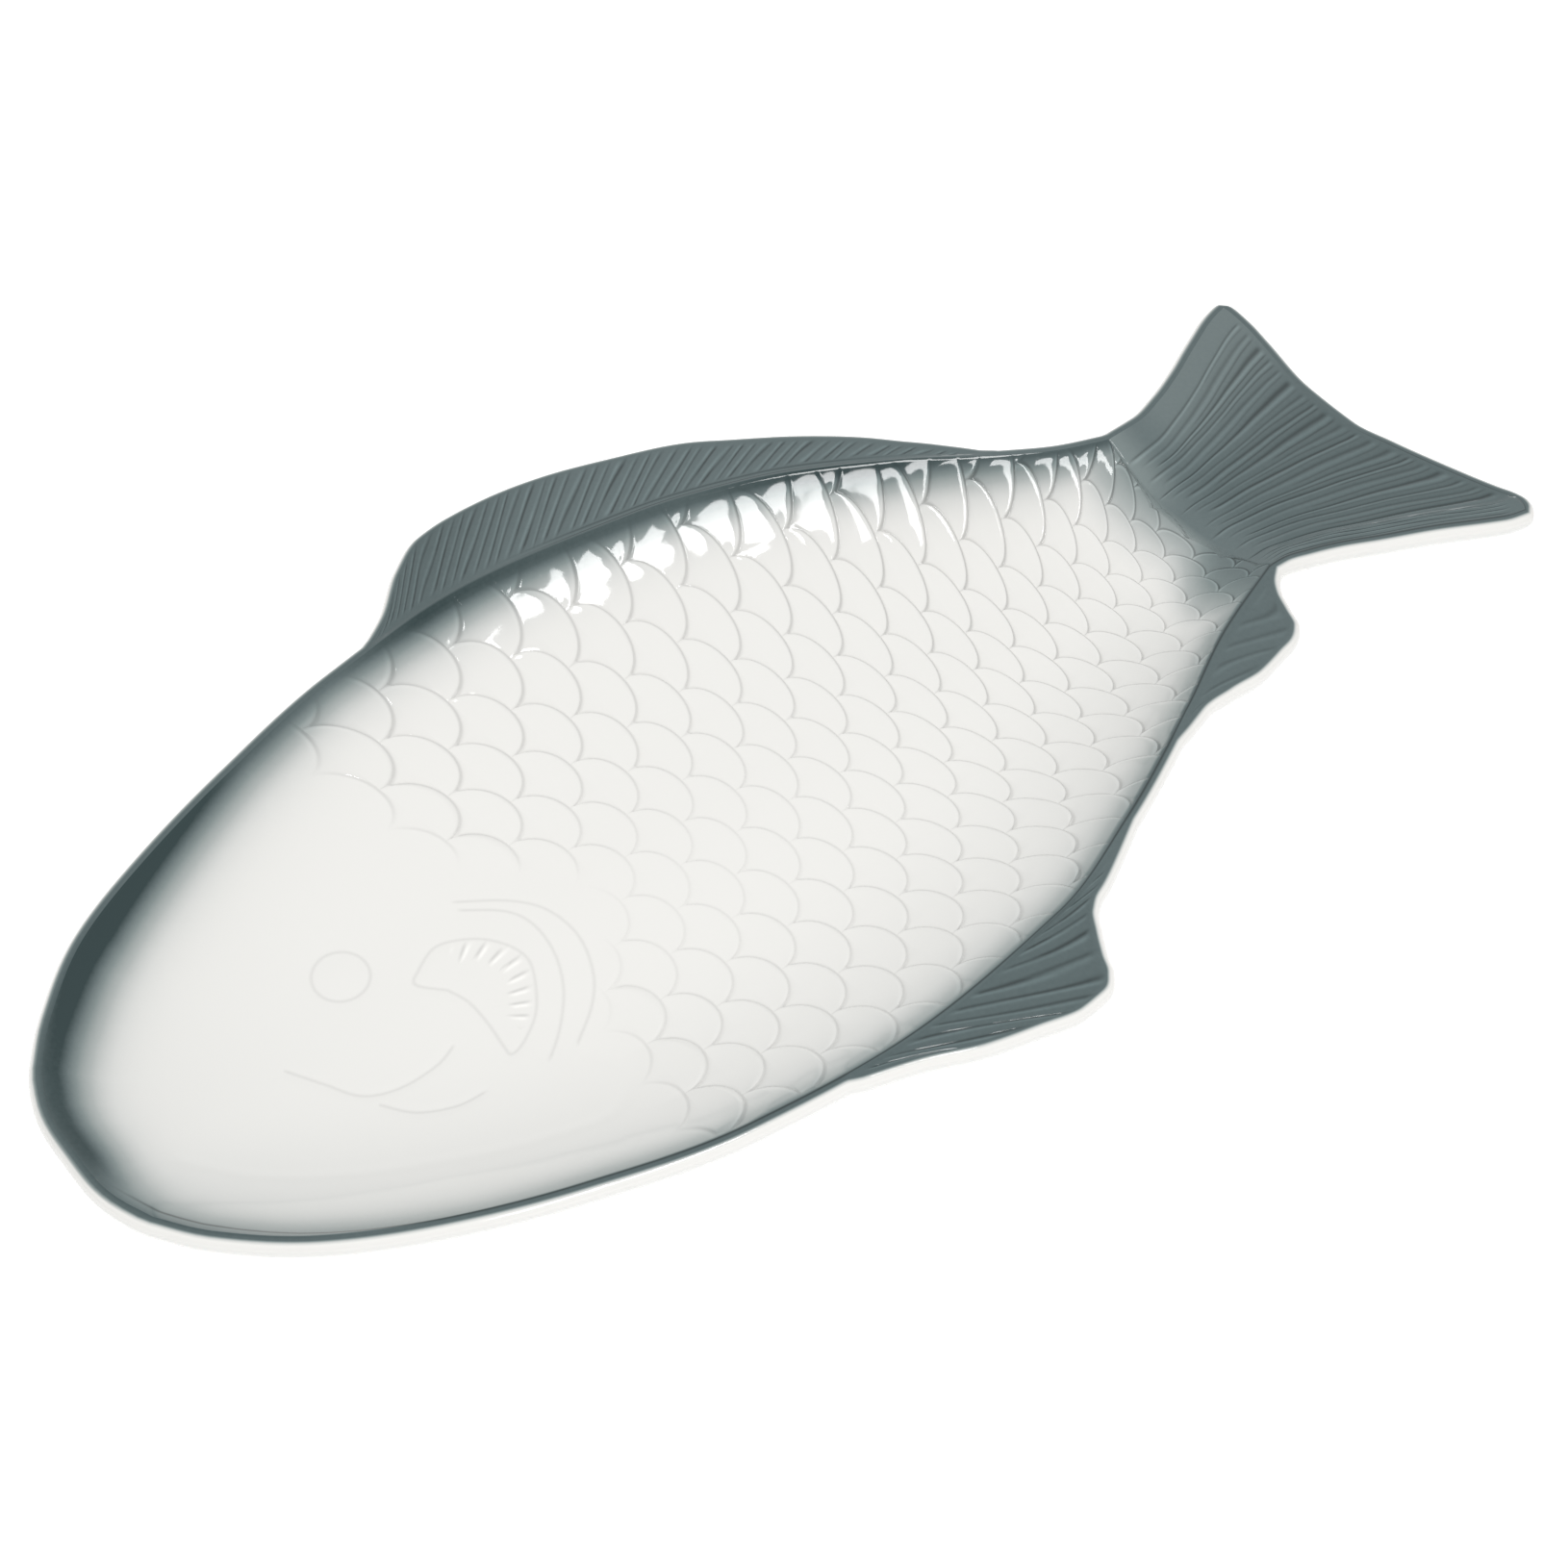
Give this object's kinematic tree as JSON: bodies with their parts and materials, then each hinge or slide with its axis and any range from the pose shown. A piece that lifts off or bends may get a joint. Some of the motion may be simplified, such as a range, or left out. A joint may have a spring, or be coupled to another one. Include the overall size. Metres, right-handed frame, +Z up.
{
  "type": "serving platter",
  "caption": "Shallow glazed ceramic serving platter in the shape of a fish on its side, with a rounded raised rim, relief scales, ribbed fins and tail, and an oval foot underneath",
  "frame": {"origin": "on the table under the middle of the platter's outline, at the foot of the foot ring", "axes": "+X along the fish from its nose to its tail, +Y across it towards its back fin, +Z up out of the dish"},
  "size_m": [0.4028, 0.2228, 0.029],
  "materials": {
    "glaze": "gloss"
  },
  "bodies": {
    "root": {"platter": "glaze"}
  },
  "joints": []
}
